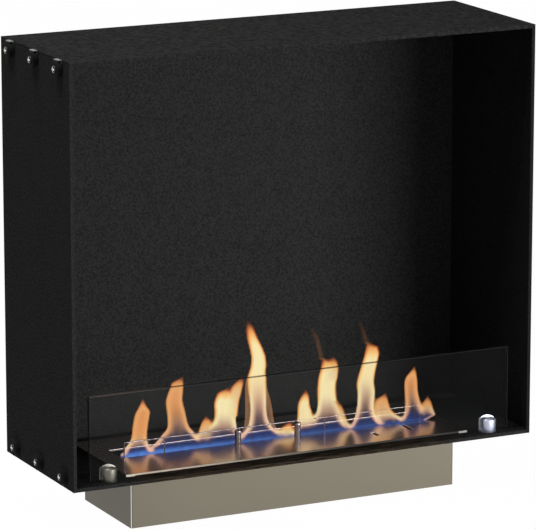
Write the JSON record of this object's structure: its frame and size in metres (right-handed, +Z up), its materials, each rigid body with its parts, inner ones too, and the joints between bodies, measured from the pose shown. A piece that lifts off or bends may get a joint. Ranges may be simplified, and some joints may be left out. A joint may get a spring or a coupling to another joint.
{
  "type": "bioethanol fireplace",
  "caption": "Built-in bioethanol fireplace: black sheet-steel casing open at the front, drop-in steel burner with a sliding shutter, and a low glass pane.",
  "frame": {"origin": "centre of the casing's flat back face, which stands against the back of the recess", "axes": "+Z up, front opening towards -Y, +X to the right seen from the front"},
  "size_m": [0.609, 0.2, 0.5625],
  "materials": {
    "powder_coat": "fine-textured matt black powder coat",
    "black_plastic": "plain moulded black plastic",
    "zinc": "zinc-plated steel",
    "satin_steel": "satin stainless steel",
    "polished_steel": "polished stainless steel",
    "chrome": "polished metal",
    "ceramic_wool": "soft white ceramic-fibre wool",
    "silicone": "matt silicone",
    "clear_glass": "clear toughened glass"
  },
  "bodies": {
    "casing": {"casing_left_side": "powder_coat", "casing_right_side": "powder_coat", "casing_top": "powder_coat", "casing_floor": "powder_coat", "casing_back": "powder_coat", "spacer_upper_front": "black_plastic", "spacer_screw_upper_front": "zinc", "spacer_nut_upper_front": "zinc", "spacer_clip_upper_front": "zinc", "spacer_upper_middle": "black_plastic", "spacer_screw_upper_middle": "zinc", "spacer_nut_upper_middle": "zinc", "spacer_clip_upper_middle": "zinc", "spacer_upper_rear": "black_plastic", "spacer_screw_upper_rear": "zinc", "spacer_nut_upper_rear": "zinc", "spacer_clip_upper_rear": "zinc", "spacer_lower_front": "black_plastic", "spacer_screw_lower_front": "zinc", "spacer_nut_lower_front": "zinc", "spacer_lower_middle": "black_plastic", "spacer_screw_lower_middle": "zinc", "spacer_nut_lower_middle": "zinc", "spacer_lower_rear": "black_plastic", "spacer_screw_lower_rear": "zinc", "spacer_nut_lower_rear": "zinc", "glass_holder_left": "chrome", "glass_pad_left": "silicone", "glass_clamp_screw_left": "zinc", "holder_fixing_screw_left": "zinc", "glass_holder_right": "chrome", "glass_pad_right": "silicone", "glass_clamp_screw_right": "zinc", "holder_fixing_screw_right": "zinc"},
    "glass": {"glass_pane": "clear_glass"},
    "burner": {"burner_tank": "satin_steel", "fuel_tray": "satin_steel", "absorber_block": "ceramic_wool", "mesh_cover": "satin_steel", "burner_top_plate": "polished_steel", "shutter_guide_left": "satin_steel", "shutter_guide_right": "satin_steel", "guard_rail": "polished_steel", "rail_post_left": "polished_steel", "rail_post_right": "polished_steel", "plate_corner_clip_left": "chrome", "plate_corner_clip_right": "chrome"},
    "shutter": {"slot_shutter": "satin_steel", "shutter_stud": "zinc"}
  },
  "joints": [
    {"name": "glass_lift", "type": "slide", "parent": "casing", "child": "glass", "axis": [0, 0, 1], "range_m": [0, 0.12]},
    {"name": "burner_lift", "type": "slide", "parent": "casing", "child": "burner", "axis": [0, 0, 1], "range_m": [0, 0.09]},
    {"name": "shutter_slide", "type": "slide", "parent": "burner", "child": "shutter", "axis": [0, 1, 0], "range_m": [0, 0.0425]}
  ]
}
